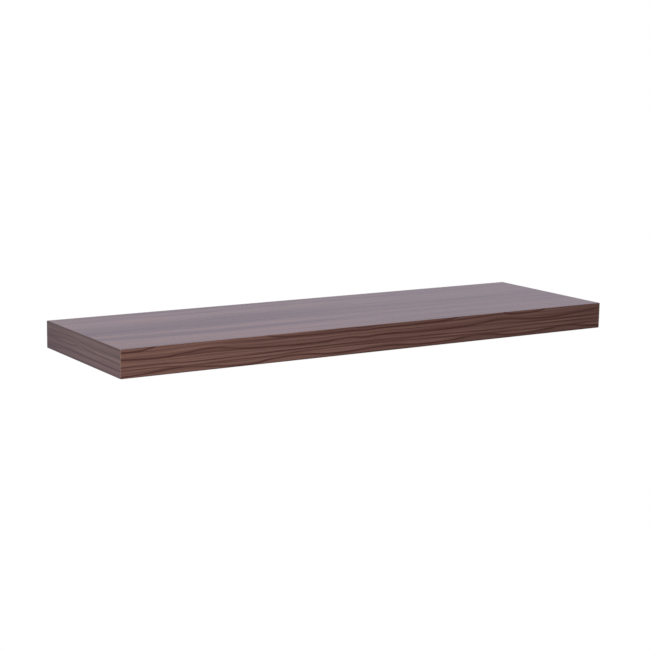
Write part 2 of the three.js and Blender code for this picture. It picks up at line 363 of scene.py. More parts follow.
# %% The fine grain, the same on every face
even_tone = 0.60
grain_layers = {
    "bands": (700, 7.0, 0.0, 1.5, 0.82),
    "lines": (380, 2.6, 5.0, 1.5, 0.90),
    "threads": (210, 1.1, 7.0, 1.5, 1.15),
    "fibres": (60, 0.32, 9.0, 2.0, 0.40),
}
dark_line = (0.37, 0.46)
pore_length = 5.5
pore_width = 0.22
pore_group_length = 120
pore_group_width = 3.0
fleck_edge = (0.60, 0.72)
group_edge = (0.40, 0.62)


def fine_grain(along, across, seed, lined=0.34):
    """The tone of the wood, from 0 dark to 1 light. A layer has a length and a width in
    millimetres, its own seed, a detail and a weight. Lined says how dark the low lines get."""
    tone = even_tone
    for name, (length, width, own_seed, detail, weight) in grain_layers.items():
        layer = long_clouds(along, across, length, width, seed + own_seed, detail)
        tone = tone + weight * (layer - 0.5)
        if name == "lines":
            tone = tone - fade(layer, *dark_line, lined, 0.0)
    return tone


def pores(along, across, seed):
    """Short dark flecks in groups: 1 on a fleck."""
    flecks = long_clouds(along, across, pore_length, pore_width, seed, detail=1.0)
    groups = long_clouds(
        along, across, pore_group_length, pore_group_width, seed + 3.0, detail=1.0
    )
    return fade(flecks, *fleck_edge) * fade(groups, *group_edge)


def print_colour(tone, dark, flecks):
    """The foil's colour from the grain's tone, the veins and the pores."""
    wood = tone.node("ShaderNodeValToRGB", {"stops": tone_stops}, {"Fac": tone}, "Color")
    veined = blend(dark, wood, vein_brown)
    return blend(pore_strength * flecks, veined, pore_brown)


def lay_foil(shader, wood, tone, dark, flecks):
    """Gives a band's shader its wood, its satin gloss and the relief of its pores."""
    plug_in(shader, {
        "Base Color": wood,
        "Roughness": fade(tone - dark, 0.0, 1.0, *foil_rough),
        "Normal": bumps(grain_lift * tone - flecks, foil_relief, foil_bump),
    })


# %% [markdown]
# ## Veins drawn one by one
# The front edge shows a few strong dark veins, and their course gives this board its look.
# They are laid as curves: each has points along the edge, in millimetres from one end and
# from mid-height, and a float curve joins them smoothly. The thin lines between bend along,
# because the same curves shift the grain. Soft patches, also given one by one, lighten or darken
# the wood where the clouds alone would leave it too even.


# %% A curve along the edge, a vein on it and a patch beside it
def course(along, length, reach, points):
    """The height, in millimetres, of a smooth line through points, as a wire."""
    shares = [(x / length, 0.5 + height / (2 * reach)) for x, height in points]
    share = along * (1 / length)
    height = share.node("ShaderNodeFloatCurve", {"curve": shares}, {"Value": share})
    return (height - 0.5) * (2 * reach)


def vein(gap, half_width):
    """1 on a line and 0 beyond its half width, from the wire of the distance to it."""
    return fade(abs(gap), 0.0, half_width, 1.0, 0.0)


def darker(dark, depth, gap, half_width):
    """Lays a vein over what is dark already. Where both are dark, the darker one holds."""
    return dark.maths("MAXIMUM", dark, depth * vein(gap, half_width))


def patch_tone(along, height, patches):
    """The sum of soft patches. Each has a middle along, a height, two reaches and a lift."""
    total = 0.0
    for middle, level, reach_along, reach_across, lift in patches:
        spot = vein(along - middle, reach_along) * vein(height - level, reach_across)
        total = total + lift * spot
    return total


# %% The courses on the front edge
front_low, front_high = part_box("front_edge_band")
board_length = round(1000 * (front_high.x - front_low.x), 3)
half_height = round(1000 * front_high.z, 3)
curve_reach = 24.0
strength_reach = 1.0
upper_course = [
    (0, 5.5), (25, 4.4), (58, 3.9), (80, 5.7), (100, 7.3), (130, 9.4), (160, 6.7), (200, 3.8),
    (235, 3), (300, 2.8), (345, 4.9), (370, 3.5), (400, 5), (460, 3.3), (500, 3.4), (540, 4.3),
    (575, 6.7), (615, 9.2), (650, 6.9), (675, 5.3), (705, 5), (740, 7.6), (770, 9.6), (800, 12.2),
]
lower_course = [
    (0, -17), (25, -16), (50, -13.8), (75, -12), (100, -12.1), (125, -14.1), (180, -17),
    (225, -13), (255, -11.5), (285, -12.5), (320, -15), (400, -11.5), (470, -14.6),
    (505, -14.4), (570, -10.8), (640, -15.2), (700, -12), (735, -10), (770, -13), (800, -15),
]
top_course = [
    (0, 14.4), (26, 14.8), (36, 16.2), (46, 18), (60, 22), (190, 23), (222, 17), (240, 15.2),
    (265, 14.4), (290, 14.5), (320, 15.6), (400, 15.6), (430, 14.3), (475, 15.2), (505, 15.6),
    (525, 18), (545, 22), (600, 22), (630, 15.5), (675, 16), (690, 18.5), (710, 23), (800, 23),
]
glow_course = [
    (0, -2), (60, -2.6), (110, -3.2), (180, -2.2), (260, -0.8), (330, 0), (430, 0.8),
    (560, 0.2), (680, 0.5), (800, 1.5),
]
first_thin_course = [
    (0, -4.7), (60, -4.4), (90, -5.5), (160, -5.5), (220, -4.3), (300, -3), (500, -3),
    (570, -5), (690, -3), (800, -4),
]
second_thin_course = [
    (0, -8.8), (50, -8.7), (90, -9.8), (170, -9.5), (225, -8.9), (260, -7.4), (300, -6.9),
    (350, -6.3), (440, -6.8), (500, -7.8), (540, -8.5), (800, -8.5),
]
top_strength = [
    (0, 1.0), (45, 1.0), (200, 0.6), (230, 0.9), (290, 0.8), (340, 0.3), (400, 0.3),
    (440, 1.0), (800, 1.0),
]
front_patches = [
    (40, 8.8, 60, 3.0, -0.12),
    (90, -7.0, 190, 7.5, 0.22),
    (170, 12.0, 130, 5.0, -0.14),
    (275, 2.0, 55, 3.0, -0.16),
    (320, -9.2, 120, 2.6, 0.20),
    (360, 15.5, 130, 6.5, -0.22),
    (450, 10.5, 240, 6.0, -0.14),
    (475, -8.3, 90, 3.5, -0.14),
    (485, 6.0, 120, 5.0, -0.14),
    (580, -1.5, 130, 4.5, -0.28),
    (590, 14.0, 80, 4.5, -0.20),
]
print("front edge", board_length, "by", 2 * half_height, "mm with", len(front_patches), "patches")

# %% [markdown]
# ## The finish of the front edge
# The band's grain runs the whole length. The veins differ in how dark and how wide they are,
# and the band gets darker towards its lower edge; its lowest millimetre is painted shade, where
# the rounded arris turns away from the light. The print is also painted lighter at the left end
# and darker at the right: painted light, as from the lamp at the left. At the two cut ends of
# the band the foil is only skin deep, so its core shows as a thin paler line: that is the light
# line at the corner.
# Each named group of four numbers is a fade: where it starts and where it ends, in millimetres
# or as the value of a cloud, and what it gives there.


# %% The front edge band's finish
front_wobble = 0.9
front_firmness = (0.30, 0.60, 0.72, 1.0)
upper_mean = 5.0
lower_mean = -13.5
upper_pull = (-6.0, 10.0, 0.0, 0.42)
lower_pull = (-15.0, -4.0, 0.40, 0.0)
upper_depth = 0.95
lower_depth = 0.98
top_depth = 0.90
first_depth = 0.95
second_depth = 0.85
upper_half = (360.0, 460.0, 2.1, 2.7)
lower_half = (100.0, 700.0, 2.1, 2.9)
second_half = (300.0, 420.0, 1.5, 1.9)
top_half = 2.0
first_half = 1.4
glow_half = 3.4
glow_lift = (130.0, 260.0, 0.20, 0.0)
foot_depth = (180.0, 350.0, 0.10, 0.50)
foot_rise = (-17.5, -12.5, 1.0, 0.0)
# painted shade: the lowest millimetre of the front band darkens where the rounded arris turns away
# from the light
painted_rim_shade = (-18.6, -17.5, 0.80, 0.0)
painted_light_drift = (0.05, -0.02)
# painted light: the front band is lighter at its left end and darker at its right, as lit from the
# left
core_reach = 1.0
core_blur = 0.6
core_share = 0.7


def front_finish():
    """Walnut print with the given veins, for the band along the front."""
    material, shader, place = new_finish("walnut_front_edge")
    x, _, z = axes(place)
    along = x + board_length / 2
    height = z + front_wobble * (long_clouds(along, z, length=60, width=6.0, seed=2.0) - 0.5)
    upper, lower, top, first_thin, second_thin, glow = [
        course(along, board_length, curve_reach, points)
        for points in (
            upper_course, lower_course, top_course, first_thin_course, second_thin_course, glow_course
        )
    ]
    top_share = course(along, board_length, strength_reach, top_strength)
    flow = height - fade(z, *upper_pull) * (upper - upper_mean)
    flow = flow - fade(z, *lower_pull) * (lower - lower_mean)
    firm = fade(long_clouds(along, z, length=60, width=9.0, seed=4.0), *front_firmness)
    veins = [
        (upper, upper_depth * firm, fade(along, *upper_half)),
        (lower, lower_depth * firm, fade(along, *lower_half)),
        (top, top_depth * top_share, top_half),
        (first_thin, first_depth * firm, first_half),
        (second_thin, second_depth * firm, fade(along, *second_half)),
    ]
    # darker towards the lower edge, plus painted shade on the lowest millimetre under the arris
    dark = fade(along, *foot_depth) * fade(z, *foot_rise) + fade(z, *painted_rim_shade)
    for middle, depth, half_width in veins:
        dark = darker(dark, depth, height - middle, half_width)
    tone = fine_grain(along, flow, seed=1.0, lined=0.06)
    tone = tone + fade(along, *glow_lift) * vein(height - glow, glow_half)
    tone = tone + patch_tone(along, height, front_patches)
    # painted light: lighter at the left end, darker at the right
    tone = tone + fade(along, 0.0, board_length, *painted_light_drift)
    flecks = pores(along, flow, seed=6.0)
    wood = print_colour(tone, dark, flecks)
    core_start = board_length / 2 - core_reach
    cut_end = fade(abs(x), core_start, core_start + core_blur)
    lay_foil(shader, blend(core_share * cut_end, wood, edge_brown), tone, dark, flecks)
    return material


walnut_front = front_finish()
print(len(walnut_front.node_tree.nodes), "nodes in the front edge's finish")

# %% [markdown]
# ## The finish of the two ends
# The end bands come from the same roll, cut across: their grain runs from front to back.
# Their veins come and go, so each has a second curve for its strength. A thin dark line runs
# under the upper arris. The print carries painted shade close to the wall, as from the wall the
# shelf hangs on, and along the lower rim, where the rounded arris turns away from the light. The
# ends look a little greener than the front, so a trace of olive is mixed in.

# %% The courses on the ends
board_depth = round(-1000 * front_low.y, 3)
left_courses = [
    ([(0, 8.5), (60, 9), (90, 10.5), (120, 8), (150, 6.5), (180, 7), (235, 8.5)],
     [(0, 0.8), (80, 0.7), (105, 0.0), (120, 0.6), (235, 0.8)], 1.3),
    ([(0, 2), (40, 1), (60, -1), (75, -1), (110, 2.5), (140, 1.5), (235, -1.5)],
     [(0, 1.0), (40, 0.6), (60, 0.0), (80, 0.6), (110, 1.0), (235, 0.9)], 1.4),
    ([(0, -13.5), (30, -13.5), (60, -9), (100, -8), (160, -9), (235, -9.5)],
     [(0, 1.0), (35, 0.7), (60, 0.3), (120, 0.45), (235, 0.5)], 1.6),
    ([(0, 5), (110, 4), (150, 4.6), (190, 5), (235, 6.4)],
     [(0, 0.0), (130, 0.0), (160, 0.6), (235, 0.8)], 1.0),
    ([(0, -6), (100, -5), (170, -4.6), (235, -6)],
     [(0, 0.4), (50, 0.0), (140, 0.0), (180, 0.5), (235, 0.6)], 1.0),
]
left_patches = [
    (130, 13.5, 190, 3.2, 0.22),
    (205, 11.5, 110, 2.6, 0.20),
    (180, 8.0, 70, 1.5, 0.14),
    (25, 5.0, 25, 1.5, 0.12),
    (10, 1.0, 70, 2.8, -0.26),
    (55, -4.5, 70, 4.0, -0.12),
    (80, -10.3, 50, 2.0, 0.16),
    (0, -12.3, 50, 3.2, -0.24),
    (140, -13.3, 140, 1.8, -0.14),
    (215, -16.0, 70, 1.8, 0.16),
]
right_patches = [
    (60, 14.0, 120, 3.5, 0.18),
    (120, 3.5, 110, 3.0, -0.14),
    (160, -14.5, 120, 3.0, 0.14),
]
right_courses = [
    ([(0, 11), (50, 9), (110, 7), (170, 9.5), (235, 12)],
     [(0, 0.6), (90, 0.9), (150, 0.5), (235, 0.8)], 1.4),
    ([(0, -2), (60, 1), (120, 2), (170, -1), (235, -3)],
     [(0, 0.8), (70, 0.3), (140, 1.0), (235, 0.7)], 1.3),
    ([(0, -8), (70, -11), (130, -9), (190, -12), (235, -11)],
     [(0, 1.0), (60, 0.8), (120, 0.5), (235, 0.9)], 1.8),
]
print("ends", board_depth, "mm deep with", len(left_courses), "and", len(right_courses), "veins")


# %% The end bands' finish
end_wobble = 1.1
end_drift = 3.0
end_vein_share = 0.8
line_rise = (15.6, 16.8, 0.0, 0.50)
line_fall = (17.2, 18.3, 1.0, 0.0)
# painted shade along the lower rim, where the rounded arris turns away from the light
painted_end_rim_shade = (-18.4, -17.2, 0.90, 0.0)
# painted shade: the ends get darker close to the wall, as shaded by the wall the shelf hangs on
painted_wall_shade = (0.0, 130.0, -0.16, 0.0)
olive_share = (-12.0, 14.0, 0.03, 0.14)


def end_finish(name, courses, patches, seed):
    """Walnut print whose grain runs front to back, with the veins and patches of one end."""
    material, shader, place = new_finish(name)
    _, y, z = axes(place)
    along = 0.0 - y
    height = z + end_wobble * (long_clouds(along, z, length=36, width=6.0, seed=seed) - 0.5)
    flow = height + end_drift * (long_clouds(along, z, length=120, width=30, seed=seed + 2.0) - 0.5)
    # a dark line under the upper arris, and painted shade along the lower rim
    dark = fade(height, *line_rise) * fade(z, *line_fall) + fade(z, *painted_end_rim_shade)
    for points, strengths, half_width in courses:
        middle = course(along, board_depth, curve_reach, points)
        strength = course(along, board_depth, strength_reach, strengths)
        dark = darker(dark, end_vein_share * strength, height - middle, half_width)
    # painted shade close to the wall
    tone = fine_grain(along, flow, seed, lined=0.08) + fade(along, *painted_wall_shade)
    tone = tone + patch_tone(along, height, patches)
    flecks = pores(along, flow, seed + 4.0)
    wood = print_colour(tone, dark, flecks)
    wood = blend(fade(z, *olive_share), wood, olive_brown)
    lay_foil(shader, wood, tone, dark, flecks)
    return material


walnut_left = end_finish("walnut_left_edge", left_courses, left_patches, seed=21.0)
walnut_right = end_finish("walnut_right_edge", right_courses, right_patches, seed=33.0)
print(len(walnut_left.node_tree.nodes), "nodes in the left end's finish")

# %% [markdown]
# ## The finish of the skins
# The skins are thin fibreboard with the foil on one side only. Their veins are the level
# lines of a stretched cloud, which close into the long pointed arches of flat-sawn walnut.
# The cloud is read twice, 1 mm apart, because a vein has to be equally wide where the cloud is
# steep and where it is gentle, and has to fade where it is flat. Broad light and dark streaks
# are listed, as a curve across the depth. The back of a skin and its sawn edge stay bare
# fibreboard, so the finish asks how high a point is: on the foil's side it prints walnut, and
# everywhere else it shows brown fibre.


# %% Bare fibreboard
fibre_browns = (srgb(112, 82, 56), srgb(151, 117, 84), srgb(128, 92, 62))
flake_cover = (0.35, 0.65, 0.0, 0.35)


def fibre_colour(place):
    """The matt brown felt of pressed wood fibre."""
    felt = fade(clouds(place, scale=0.9, detail=4.0, roughness=0.65), *cloud_span)
    flakes = fade(clouds(place, scale=0.12, detail=2.0), *flake_cover)
    return mottled(felt, flakes, fibre_browns)


# %% The skins' finish
foil_depth = 0.15
skin_sway = 16.0
skin_small_sway = 1.6
skin_levels = 15.0
skin_vein_half = 2.1
flat_slope = 0.004
steep_slope = 0.04
skin_firmness = (0.35, 0.62, 0.15, 0.85)
streak_strength = 0.6
streak_fade = (-120.0, 60.0, 1.0, 0.45)
skin_lift = 0.12
fibre_rough = 0.85
skin_rough = 0.24
skin_relief = 0.006
skin_bump = 0.35


def skin_finish(name, foil_up, seed, streaks):
    """Walnut foil on one face of a skin and bare fibreboard on the others."""
    material, shader, place = new_finish(name)
    x, y, z = axes(place)
    sway = skin_sway * (long_clouds(x, y, length=330, width=150, seed=seed, detail=1.0) - 0.5)
    small_sway = skin_small_sway * (long_clouds(x, y, length=40, width=8.0, seed=seed + 1.0) - 0.5)
    flow = y + sway + small_sway
    here, beside = [
        skin_levels * long_clouds(x, flow + step, length=1000, width=62, seed=seed + 2.0, detail=1.0)
        for step in (0.0, 1.0)
    ]
    slope = abs(beside - here)
    to_level = abs(here.maths("FRACT", here) - 0.5)
    firm = fade(long_clouds(x, flow, length=150, width=12, seed=seed + 3.0), *skin_firmness)
    firm = firm * fade(slope, flat_slope, steep_slope)
    dark = firm * fade(to_level, 0.0, skin_vein_half * slope + flat_slope, 1.0, 0.0)
    streak = course(0.0 - flow, board_depth, strength_reach, streaks) * fade(x, *streak_fade)
    tone = fine_grain(x, flow, seed + 4.0, lined=0.2) + streak_strength * streak + skin_lift
    flecks = pores(x, flow, seed + 6.0)
    wood = print_colour(tone, dark, flecks)
    foil = fade(foil_up * z, half_height - 2 * foil_depth, half_height - foil_depth)
    plug_in(shader, {
        "Base Color": blend(foil, fibre_colour(place), wood),
        "Roughness": fade(foil, 0.0, 1.0, fibre_rough, skin_rough),
        "Normal": bumps(foil * (grain_lift * tone - flecks), skin_relief, skin_bump),
    })
    return material


top_streaks = [
    (0, 0.1), (30, 0), (55, 0.4), (70, 0.3), (90, -0.3), (130, -0.35), (143, -0.15),
    (150, 0.35), (157, -0.05), (166, -0.25), (178, 0), (195, 0.3), (215, 0.2), (235, 0),
]
bottom_streaks = [
    (0, -0.1), (40, 0.3), (62, -0.3), (85, 0.1), (120, 0.45), (134, -0.3), (170, 0.1),
    (200, -0.35), (235, 0.2),
]
walnut_top = skin_finish("walnut_top", foil_up=1.0, seed=41.0, streaks=top_streaks)
walnut_bottom = skin_finish("walnut_bottom", foil_up=-1.0, seed=57.0, streaks=bottom_streaks)
print(len(walnut_top.node_tree.nodes), "nodes in the top skin's finish")

# %% [markdown]
# ## Inside the board
# Chipboard is glued chips: flat cells of many tans. Softwood has pale and darker year
# rings. Kraft paper is brown with short fibres. None is seen while the shelf hangs. Off the
# bracket the back rail shows, with the blocks deep in its bores. The core stays hidden, but
# every piece can be lifted out and looked at, so each gets its own finish.


# %% Chipboard
chip_length = 2.6
chip_width = 2.4
chip_thickness = 0.9
chip_share = 0.8
dust_share = 0.35
dust_start = 0.3
chip_lift = 0.6
chip_rough = 0.9
chip_stops = [
    (0.0, srgb(132, 98, 72)), (0.25, srgb(176, 140, 106)),
    (0.7, srgb(193, 160, 125)), (1.0, srgb(212, 184, 150)),
]


def chipboard_finish():
    """Flat wood chips of many tans, pressed with glue."""
    material, shader, place = new_finish("chipboard_raw")
    warp = clouds(place, scale=0.25, detail=2.0)
    x, y, z = axes(place)
    chips_place = stretched(
        x * (1 / chip_length) + warp, y * (1 / chip_width) + warp, z * (1 / chip_thickness)
    )
    chips = place.node("ShaderNodeTexVoronoi", {}, {"Vector": chips_place, "Scale": 1.0}, "Color")
    shade = chips.node("ShaderNodeSeparateColor", {}, {"Color": chips}, "Red")
    dust = clouds(place, scale=2.2, detail=3.0, roughness=0.6)
    mix = chip_share * shade + dust_share * (dust - dust_start)
    wood = mix.node("ShaderNodeValToRGB", {"stops": chip_stops}, {"Fac": mix}, "Color")
    plug_in(shader, {
        "Base Color": wood,
        "Roughness": chip_rough,
        "Normal": bumps(chip_lift * shade + dust, depth=0.25, strength=0.5),
    })
    return material


chipboard = chipboard_finish()
print(chipboard.name, "with chips about", chip_length, "mm long")


# %% Softwood
ring_width = 3.4
ring_bend = 3.0
ring_tilt = 0.4
late_rise = (0.55, 0.93)
late_end = (0.95, 1.0, 1.0, 0.0)
late_share = 0.75
late_sink = 0.4
fibre_cover = (0.35, 0.75, 0.0, 0.35)
pine_rough = 0.75
pine_tans = (srgb(222, 190, 140), srgb(186, 137, 84), srgb(168, 128, 84))


def long_in_y(place, length, width, detail=2.0):
    """Smooth noise whose patches are long in Y and equally wide in X and Z."""
    x, y, z = axes(place)
    return clouds(stretched(x * (1 / width), y * (1 / length), z * (1 / width)), detail=detail)


def softwood_finish():
    """Pale pine, planed, with the year rings along the rod's direction."""
    material, shader, place = new_finish("softwood_planed")
    x, _, z = axes(place)
    bend = ring_bend * (long_in_y(place, length=120, width=30) - 0.5)
    rings = (x + ring_tilt * z + bend) * (1 / ring_width)
    ring = rings.maths("FRACT", rings)
    late = fade(ring, *late_rise) * fade(ring, *late_end)
    fibre = long_in_y(place, length=25, width=0.5, detail=3.0)
    plug_in(shader, {
        "Base Color": mottled(late_share * late, fade(fibre, *fibre_cover), pine_tans),
        "Roughness": pine_rough,
        "Normal": bumps(fibre - late_sink * late, depth=0.12, strength=0.4),
    })
    return material


softwood = softwood_finish()
print(softwood.name, "with a year ring every", ring_width, "mm")


# %% Kraft paper
paper_browns = (srgb(150, 114, 76), srgb(190, 154, 110), srgb(164, 126, 84))
blotch_cover = (0.4, 0.7, 0.0, 0.4)
paper_rough = 0.92


def paper_finish():
    """Brown honeycomb paper with short fibres."""
    material, shader, place = new_finish("kraft_paper_brown")
    fibres = clouds(place, scale=1.4, detail=5.0, roughness=0.7)
    blotches = fade(clouds(place, scale=0.15, detail=2.0), *blotch_cover)
    plug_in(shader, {
        "Base Color": mottled(fade(fibres, *cloud_span), blotches, paper_browns),
        "Roughness": paper_rough,
        "Normal": bumps(fibres, depth=0.1, strength=0.5),
    })
    return material


kraft_paper = paper_finish()
print(kraft_paper.name, "with", len(kraft_paper.node_tree.nodes), "nodes")

# %% [markdown]
# ## Metal and plastic
# The bracket is powder coated: a black skin with the faint dimples of orange peel. The wood
# screws and grub screws are zinc plated, bright with a cool bloom. The inserts are turned
# brass, and the wall plugs are moulded nylon. They are made alike, with two clouds each: one
# lets the colour and the gloss wander a little, and one is the smallest relief.


# %% Hard and smooth finishes
scratches_in_bloom = 9


def hard_finish(name, colours, metallic, rough, drift, relief, colour_span=(0.35, 0.70)):
    """A hard surface. Drift is the cloud that shifts its colour and gloss: scale, detail and
    roughness. Relief is the cloud of its bumps: scale, detail, depth in mm and strength."""
    material, shader, place = new_finish(name)
    wander = clouds(place, *drift)
    scale, detail, depth, strength = relief
    plug_in(shader, {
        "Base Color": blend(fade(wander, *colour_span), *colours),
        "Metallic": metallic,
        "Roughness": fade(wander, *cloud_span, *rough),
        "Normal": bumps(clouds(place, scale, detail), depth, strength),
    })
    print(name, "with roughness from", rough[0], "to", rough[1])
    return material


def plated_finish(name, colours, rough, scale):
    """Bright metal. Its fine scratches are nine times smaller than its bloom."""
    drift = (scale, 3.0, 0.6)
    relief = (scale * scratches_in_bloom, 2.0, 0.01, 0.4)
    return hard_finish(name, colours, 1.0, rough, drift, relief)


black_coat = hard_finish(
    "black_powder_coat", (srgb(30, 31, 33), srgb(46, 47, 50)), metallic=0.0, rough=(0.42, 0.54),
    drift=(0.07, 3.0, 0.6), relief=(1.1, 1.0, 0.05, 0.6), colour_span=(0.35, 0.75),
)
nylon = hard_finish(
    "grey_moulded_nylon", (srgb(168, 170, 172), srgb(146, 148, 151)), metallic=0.0,
    rough=(0.46, 0.58), drift=(0.16, 2.0, 0.5), relief=(2.5, 2.0, 0.02, 0.5),
)
zinc_greys = (srgb(206, 209, 213), srgb(176, 182, 190))
zinc = plated_finish("zinc_plate", zinc_greys, rough=(0.24, 0.38), scale=0.35)
brass_yellows = (srgb(214, 178, 104), srgb(188, 148, 78))
brass = plated_finish("turned_brass", brass_yellows, rough=(0.26, 0.40), scale=0.30)

# %% [markdown]
# ## Dressing the CAD pieces that stay
# Where a CAD piece already has its real shape, only its finish is new. Its mesh is left
# alone, and the material goes into its slot.

# %% Finishes for the kept pieces
kept = {
    "top_panel": walnut_top,
    "front_rail": chipboard,
    "left_end_rail": chipboard,
    "right_end_rail": chipboard,
    "rod_block_left": softwood,
    "rod_block_centre": softwood,
    "rod_block_right": softwood,
    "honeycomb_core": kraft_paper,
}
for node, finish in kept.items():
    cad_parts[node].material_slots[0].material = finish
print(len(kept), "CAD pieces keep their shape")

# %% [markdown]
# ## From a bmesh to a piece
# Every new piece ends the same way: smooth shading with sharp edges kept, one finish, the
# body it moves with and the CAD nodes that it stands for.


# %% Points, edges and moves of a bmesh
same_point = 1e-6


def verts_in(results):
    """The points among the results of a bmesh operator."""
    return [item for item in results if isinstance(item, bmesh.types.BMVert)]


def edges_in(results):
    """The edges among the results of a bmesh operator."""
    return [item for item in results if isinstance(item, bmesh.types.BMEdge)]


def shift_shape(shape, way, verts=None):
    """Moves a whole bmesh, or only some of its points."""
    bmesh.ops.translate(shape, verts=verts or shape.verts, vec=way)


def turn_shape(shape, angle, axis):
    """Turns a whole bmesh about an axis of the frame."""
    turning = Matrix.Rotation(angle, 3, axis)
    bmesh.ops.rotate(shape, cent=(0.0, 0.0, 0.0), matrix=turning, verts=shape.verts)


def face_outwards(shape):
    """Turns all faces of a closed bmesh to point outwards."""
    bmesh.ops.recalc_face_normals(shape, faces=shape.faces)


def middle_x(node):
    """Where the middle of a CAD node is along the wall."""
    low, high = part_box(node)
    return (low.x + high.x) / 2


# %% Finish a piece
def add_piece(name, shape, finish, body, replaced=(), crease=32.0):
    """Turns a bmesh into an object that rides on a body and replaces CAD nodes."""
    data = bpy.data.meshes.new(name)
    shape.to_mesh(data)
    shape.free()
    data.shade_smooth()
    data.set_sharp_from_angle(angle=math.radians(crease))
    data.materials.append(finish)
    piece = new_object(name, data)
    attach(piece, body)
    if replaced:
        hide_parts(*replaced)
    return piece


def sharp_edges(shape, degrees=30.0):
    """The edges of a bmesh whose two faces meet at more than an angle."""
    return [e for e in shape.edges if e.is_manifold and e.calc_face_angle() > math.radians(degrees)]


def rounded(shape, edges, radius, segments=3):
    """Rounds some edges of a bmesh."""
    bmesh.ops.bevel(
        shape, geom=edges, offset=radius, segments=segments, affect="EDGES", profile=0.5, material=-1
    )


# %% [markdown]
# ## The edge bands
# A band is a strip 1 mm thick, glued on and then trimmed flush with a rounding cutter. That
# leaves an arris of half a millimetre, which catches the light as a fine line. A cube is
# stretched to the strip's box from the frame, and only the outer edges are rounded.


# %% The three bands
arris = 0.0005
arris_steps = 5
band_crease = 80.0


def bar_between(low, high):
    """A box between two corners, as a bmesh."""
    shape = bmesh.new()
    bmesh.ops.create_cube(shape, size=1.0)
    bmesh.ops.scale(shape, vec=high - low, verts=shape.verts)
    shift_shape(shape, (high + low) / 2)
    return shape


def edges_at(shape, axis, value):
    """The edges of a bmesh that lie wholly at one value of an axis."""
    return [e for e in shape.edges if all(abs(v.co[axis] - value) < same_point for v in e.verts)]


def add_band(side, shape, edges, finish):
    """Rounds a band's outer edges. A wide crease angle keeps the rounding smooth."""
    rounded(shape, edges, arris, arris_steps)
    node = side + "_edge_band"
    add_piece(side + "_band", shape, finish, "shelf_board", [node], band_crease)


front_band = bar_between(front_low, front_high)
add_band("front", front_band, edges_at(front_band, 1, front_low.y), walnut_front)

for side, finish in (("left", walnut_left), ("right", walnut_right)):
    low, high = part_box(side + "_edge_band")
    outer = low.x if side == "left" else high.x
    band = bar_between(low, high)
    outer_edges = edges_at(band, 0, outer)
    long_edges = [e for e in outer_edges if abs(e.verts[0].co.y - e.verts[1].co.y) > arris]
    add_band(side, band, long_edges, finish)
print("bands rounded to", arris * 1000, "mm")

# %% [markdown]
# ## Plates with holes
# The wall rail, the back rail and the bottom skin are flat pieces with round holes. Cutting
# them with a boolean leaves long thin faces. Instead each hole gets its own cell: a circle
# is extruded outward, the new ring is pushed to a square and stretched to the cell's
# rectangle. Cells side by side share their edge points, so they merge into one clean sheet.


# %% One cell with a hole
hole_points = 32


def add_cell(shape, low, high, middle, radius, slot_travel=0.0):
    """A rectangle in X and Y with a round hole, or a slot that is longer in Y."""
    circle = bmesh.ops.create_circle(shape, segments=hole_points, radius=1.0)["verts"]
    ring = {edge for vert in circle for edge in vert.link_edges}
    outward = bmesh.ops.extrude_edge_only(shape, edges=list(ring))["geom"]
    for vert in verts_in(outward):
        square = vert.co / max(abs(vert.co.x), abs(vert.co.y))
        vert.co.x = low[0] + (high[0] - low[0]) * (square.x + 1) / 2
        vert.co.y = low[1] + (high[1] - low[1]) * (square.y + 1) / 2
    for vert in circle:
        half_travel = math.copysign(slot_travel / 2, vert.co.y) if abs(vert.co.y) > same_point else 0.0
        vert.co = Vector((middle[0], middle[1] + half_travel, 0.0)) + vert.co * radius


def drilled_plate(low, high, thickness, holes):
    """A plate from z = 0 up. Holes are (x, y, radius, slot travel), from left to right."""
    shape = bmesh.new()
    places = [hole[0] for hole in holes]
    joints = [(a + b) / 2 for a, b in zip(places, places[1:])]
    borders = [low[0], *joints, high[0]]
    for (x, y, radius, travel), left, right in zip(holes, borders, borders[1:]):
        add_cell(shape, (left, low[1]), (right, high[1]), (x, y), radius, travel)
    bmesh.ops.remove_doubles(shape, verts=shape.verts, dist=same_point)
    lifted = bmesh.ops.extrude_face_region(shape, geom=shape.faces[:])["geom"]
    shift_shape(shape, (0.0, 0.0, thickness), verts_in(lifted))
    face_outwards(shape)
    return shape


def stand_up(shape, y):
    """Turns a plate that lies in X and Y so that it stands in X and Z, its foot at y."""
    turn_shape(shape, math.pi / 2, "X")
    shift_shape(shape, (0.0, y, 0.0))


# %% The wall rail
rail_low, rail_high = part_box("wall_rail")
rail_corner = 0.004
rail_arris = 0.0004
corner_steps = 8
arris_pair = 2
screw_hole = 0.003
level_travel = 0.006
slotted = (0, 3)
numbers = ["1", "2", "3", "4"]
screws = ["wall_screw_" + number for number in numbers]
screw_x = [middle_x(screw) for screw in screws]

rail_holes = [
    (x, 0.0, screw_hole, level_travel if index in slotted else 0.0)
    for index, x in enumerate(screw_x)
]
rail = drilled_plate(
    (rail_low.x, rail_low.z), (rail_high.x, rail_high.z), rail_high.y - rail_low.y, rail_holes
)
corners = [
    e for e in rail.edges
    if abs(abs(e.verts[0].co.x) - rail_high.x) < same_point
    and abs(abs(e.verts[0].co.y) - rail_high.z) < same_point
    and abs(e.verts[0].co.z - e.verts[1].co.z) > rail_arris
]
rounded(rail, corners, rail_corner, corner_steps)
rounded(rail, sharp_edges(rail), rail_arris, arris_pair)
stand_up(rail, rail_high.y)
add_piece("wall_rail_bar", rail, black_coat, "wall_bracket", ["wall_rail"])
print("wall rail with", len(rail_holes), "holes,", len(corners), "corners rounded")

